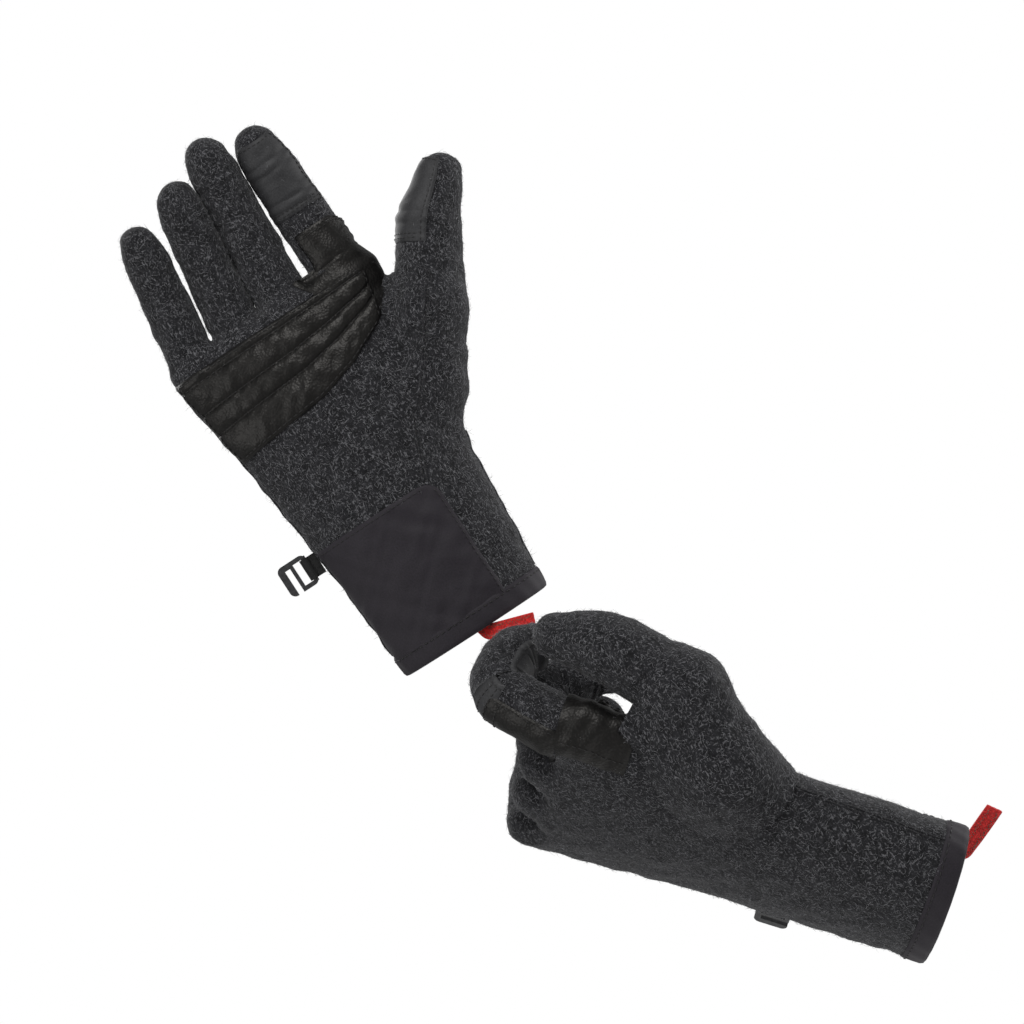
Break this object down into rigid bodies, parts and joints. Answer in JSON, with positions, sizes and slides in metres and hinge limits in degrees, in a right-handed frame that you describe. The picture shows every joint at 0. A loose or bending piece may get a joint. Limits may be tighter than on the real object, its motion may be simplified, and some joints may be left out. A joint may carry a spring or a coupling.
{
  "type": "touchscreen glove pair",
  "caption": "Pair of boiled-wool gloves with quilted leather palms, stretch wrist panels, touch pads, cuff hooks and pull loops; the stalls bend at their joints.",
  "frame": {"origin": "centre of the right glove's cuff opening, in the plane of its lower edge", "axes": "+Z from the right cuff to its fingertips, +X to its thumb side, -Y out of its palm"},
  "size_m": [0.2219, 0.1753, 0.5022],
  "materials": {
    "wool": "felted boiled wool, heathered charcoal",
    "softshell": "matte stretch softshell",
    "lining": "brushed",
    "elastic": "woven elastic",
    "foam": "open-cell foam",
    "leather": "pebbled, semi-gloss",
    "touch_pad": "smooth coated",
    "webbing": "ribbed webbing",
    "hook_plastic": "satin",
    "ribbon": "woven ribbon"
  },
  "bodies": {
    "right_hand": {"right_back_shell": "wool", "right_palm_shell": "wool", "right_wrist_panel": "softshell", "right_lining": "lining", "right_wrist_elastic": "elastic", "right_palm_padding": "foam", "right_leather_palm": "leather", "right_cuff_hem": "softshell", "right_clip_webbing": "webbing"},
    "right_index_base": {"right_index_base": "wool", "right_index_leather_patch": "leather"},
    "right_index_middle": {"right_index_middle": "wool"},
    "right_index_tip": {"right_index_tip": "wool", "right_index_touch_pad": "touch_pad"},
    "right_middle_base": {"right_middle_base": "wool"},
    "right_middle_middle": {"right_middle_middle": "wool"},
    "right_middle_tip": {"right_middle_tip": "wool"},
    "right_ring_base": {"right_ring_base": "wool"},
    "right_ring_middle": {"right_ring_middle": "wool"},
    "right_ring_tip": {"right_ring_tip": "wool"},
    "right_little_base": {"right_little_base": "wool"},
    "right_little_middle": {"right_little_middle": "wool"},
    "right_little_tip": {"right_little_tip": "wool"},
    "right_thumb_base": {"right_thumb_base": "wool"},
    "right_thumb_middle": {"right_thumb_middle": "wool"},
    "right_thumb_tip": {"right_thumb_tip": "wool", "right_thumb_touch_pad": "touch_pad"},
    "right_clip": {"right_clip_hook": "hook_plastic"},
    "right_loop": {"right_pull_loop": "ribbon"},
    "left_hand": {"left_back_shell": "wool", "left_palm_shell": "wool", "left_wrist_panel": "softshell", "left_lining": "lining", "left_wrist_elastic": "elastic", "left_palm_padding": "foam", "left_leather_palm": "leather", "left_cuff_hem": "softshell", "left_clip_webbing": "webbing"},
    "left_index_base": {"left_index_base": "wool", "left_index_leather_patch": "leather"},
    "left_index_middle": {"left_index_middle": "wool"},
    "left_index_tip": {"left_index_tip": "wool", "left_index_touch_pad": "touch_pad"},
    "left_middle_base": {"left_middle_base": "wool"},
    "left_middle_middle": {"left_middle_middle": "wool"},
    "left_middle_tip": {"left_middle_tip": "wool"},
    "left_ring_base": {"left_ring_base": "wool"},
    "left_ring_middle": {"left_ring_middle": "wool"},
    "left_ring_tip": {"left_ring_tip": "wool"},
    "left_little_base": {"left_little_base": "wool"},
    "left_little_middle": {"left_little_middle": "wool"},
    "left_little_tip": {"left_little_tip": "wool"},
    "left_thumb_base": {"left_thumb_base": "wool"},
    "left_thumb_middle": {"left_thumb_middle": "wool"},
    "left_thumb_tip": {"left_thumb_tip": "wool", "left_thumb_touch_pad": "touch_pad"},
    "left_clip": {"left_clip_hook": "hook_plastic"},
    "left_loop": {"left_pull_loop": "ribbon"}
  },
  "joints": [
    {"name": "right_index_root", "type": "hinge", "parent": "right_hand", "child": "right_index_base", "pos_m": [0.0385, 0, 0.189], "axis": [0.9998, 0, 0.0175], "range_deg": [-14, 76]},
    {"name": "right_index_knuckle", "type": "hinge", "parent": "right_index_base", "child": "right_index_middle", "pos_m": [0.03794, -0.00223, 0.22092], "axis": [0.9998, 0, 0.0175], "range_deg": [-13, 82]},
    {"name": "right_index_end", "type": "hinge", "parent": "right_index_middle", "child": "right_index_tip", "pos_m": [0.03757, -0.00681, 0.24243], "axis": [0.9998, 0, 0.0175], "range_deg": [-6.5, 41]},
    {"name": "right_middle_root", "type": "hinge", "parent": "right_hand", "child": "right_middle_base", "pos_m": [0.0083, 0, 0.189], "axis": [0.9962, 0, -0.0872], "range_deg": [-17, 73]},
    {"name": "right_middle_knuckle", "type": "hinge", "parent": "right_middle_base", "child": "right_middle_middle", "pos_m": [0.0115, -0.00451, 0.22558], "axis": [0.9962, 0, -0.0872], "range_deg": [-14, 81]},
    {"name": "right_middle_end", "type": "hinge", "parent": "right_middle_middle", "child": "right_middle_tip", "pos_m": [0.01359, -0.0114, 0.24952], "axis": [0.9962, 0, -0.0872], "range_deg": [-7, 40.5]},
    {"name": "right_ring_root", "type": "hinge", "parent": "right_hand", "child": "right_ring_base", "pos_m": [-0.0178, 0, 0.189], "axis": [0.9877, 0, -0.1564], "range_deg": [-18, 72]},
    {"name": "right_ring_knuckle", "type": "hinge", "parent": "right_ring_base", "child": "right_ring_middle", "pos_m": [-0.01284, -0.00445, 0.2203], "axis": [0.9877, 0, -0.1564], "range_deg": [-15, 80]},
    {"name": "right_ring_end", "type": "hinge", "parent": "right_ring_middle", "child": "right_ring_tip", "pos_m": [-0.00957, -0.01125, 0.24096], "axis": [0.9877, 0, -0.1564], "range_deg": [-7.5, 40]},
    {"name": "right_little_root", "type": "hinge", "parent": "right_hand", "child": "right_little_base", "pos_m": [-0.0435, 0, 0.189], "axis": [0.9877, 0, -0.1564], "range_deg": [-17, 73]},
    {"name": "right_little_knuckle", "type": "hinge", "parent": "right_little_base", "child": "right_little_middle", "pos_m": [-0.03915, -0.00341, 0.21645], "axis": [0.9877, 0, -0.1564], "range_deg": [-15, 80]},
    {"name": "right_little_end", "type": "hinge", "parent": "right_little_middle", "child": "right_little_tip", "pos_m": [-0.03631, -0.00897, 0.23439], "axis": [0.9877, 0, -0.1564], "range_deg": [-7.5, 40]},
    {"name": "right_thumb_root", "type": "hinge", "parent": "right_hand", "child": "right_thumb_base", "pos_m": [0.046, 0, 0.112], "axis": [-0.853, 0, 0.5219], "range_deg": [-45, 10]},
    {"name": "right_thumb_knuckle", "type": "hinge", "parent": "right_thumb_base", "child": "right_thumb_middle", "pos_m": [0.065, 0, 0.14305], "axis": [-0.584, 0.7149, 0.3847], "range_deg": [-36, 10]},
    {"name": "right_thumb_end", "type": "hinge", "parent": "right_thumb_middle", "child": "right_thumb_tip", "pos_m": [0.08804, 0, 0.17804], "axis": [-0.4904, 0.7054, 0.5117], "range_deg": [-60, 10]},
    {"name": "right_clip_swivel", "type": "hinge", "parent": "right_hand", "child": "right_clip", "pos_m": [-0.0515, 0, 0.069], "axis": [0, 0, 1], "range_deg": [-60, 60]},
    {"name": "right_loop_swing", "type": "hinge", "parent": "right_hand", "child": "right_loop", "pos_m": [0.003, -0.0205, 0.005], "axis": [0, 0, 1], "range_deg": [0, 40]},
    {"name": "left_index_root", "type": "hinge", "parent": "left_hand", "child": "left_index_base", "pos_m": [0.00972, -0.11977, -0.05004], "axis": [-0.4226, 0.788, -0.4478], "range_deg": [-26, 28]},
    {"name": "left_index_knuckle", "type": "hinge", "parent": "left_index_base", "child": "left_index_middle", "pos_m": [-0.00472, -0.11191, -0.02258], "axis": [-0.4226, 0.788, -0.4478], "range_deg": [-85, 10]},
    {"name": "left_index_end", "type": "hinge", "parent": "left_index_middle", "child": "left_index_tip", "pos_m": [0.01059, -0.09874, -0.01385], "axis": [-0.4226, 0.788, -0.4478], "range_deg": [-42.5, 5]},
    {"name": "left_middle_root", "type": "hinge", "parent": "left_hand", "child": "left_middle_base", "pos_m": [-0.00339, -0.09593, -0.06316], "axis": [-0.4883, 0.7921, -0.3664], "range_deg": [-82, 8]},
    {"name": "left_middle_knuckle", "type": "hinge", "parent": "left_middle_base", "child": "left_middle_middle", "pos_m": [0.01194, -0.07448, -0.0372], "axis": [-0.4883, 0.7921, -0.3664], "range_deg": [-65, 30]},
    {"name": "left_middle_end", "type": "hinge", "parent": "left_middle_middle", "child": "left_middle_tip", "pos_m": [0.03375, -0.0631, -0.04167], "axis": [-0.4883, 0.7921, -0.3664], "range_deg": [-32.5, 15]},
    {"name": "left_ring_root", "type": "hinge", "parent": "left_hand", "child": "left_ring_base", "pos_m": [-0.01471, -0.07533, -0.0745], "axis": [-0.5291, 0.79, -0.3098], "range_deg": [-92, 0]},
    {"name": "left_ring_knuckle", "type": "hinge", "parent": "left_ring_base", "child": "left_ring_middle", "pos_m": [0.00277, -0.05625, -0.05568], "axis": [-0.5291, 0.79, -0.3098], "range_deg": [-55, 40]},
    {"name": "left_ring_end", "type": "hinge", "parent": "left_ring_middle", "child": "left_ring_tip", "pos_m": [0.02144, -0.04542, -0.05996], "axis": [-0.5291, 0.79, -0.3098], "range_deg": [-27.5, 20]},
    {"name": "left_little_root", "type": "hinge", "parent": "left_hand", "child": "left_little_base", "pos_m": [-0.02586, -0.05505, -0.08567], "axis": [-0.5291, 0.79, -0.3098], "range_deg": [-90, 0]},
    {"name": "left_little_knuckle", "type": "hinge", "parent": "left_little_base", "child": "left_little_middle", "pos_m": [-0.01121, -0.0385, -0.06848], "axis": [-0.5291, 0.79, -0.3098], "range_deg": [-55, 40]},
    {"name": "left_little_end", "type": "hinge", "parent": "left_little_middle", "child": "left_little_tip", "pos_m": [0.0049, -0.02891, -0.07156], "axis": [-0.5291, 0.79, -0.3098], "range_deg": [-27.5, 20]},
    {"name": "left_thumb_root", "type": "hinge", "parent": "left_hand", "child": "left_thumb_base", "pos_m": [0.06247, -0.13083, -0.10554], "axis": [0.7205, -0.6899, -0.0705], "range_deg": [0, 14]},
    {"name": "left_thumb_knuckle", "type": "hinge", "parent": "left_thumb_base", "child": "left_thumb_middle", "pos_m": [0.06639, -0.13043, -0.06935], "axis": [0.891, 0.0028, 0.454], "range_deg": [0, 5]},
    {"name": "left_thumb_end", "type": "hinge", "parent": "left_thumb_middle", "child": "left_thumb_tip", "pos_m": [0.04767, -0.12265, -0.03268], "axis": [0.6957, 0.1401, 0.7046], "range_deg": [0, 25]},
    {"name": "left_clip_swivel", "type": "hinge", "parent": "left_hand", "child": "left_clip", "pos_m": [0.0478, -0.05675, -0.18072], "axis": [-0.6428, 0.0668, 0.7631], "range_deg": [-60, 60]},
    {"name": "left_loop_swing", "type": "hinge", "parent": "left_hand", "child": "left_loop", "pos_m": [0.12553, -0.09152, -0.19607], "axis": [0.6428, -0.0668, -0.7631], "range_deg": [0, 40]},
    {"name": "left_glove_away", "type": "slide", "parent": "right_hand", "child": "left_hand", "axis": [0, 0, -1], "range_m": [0, 0.1]}
  ]
}
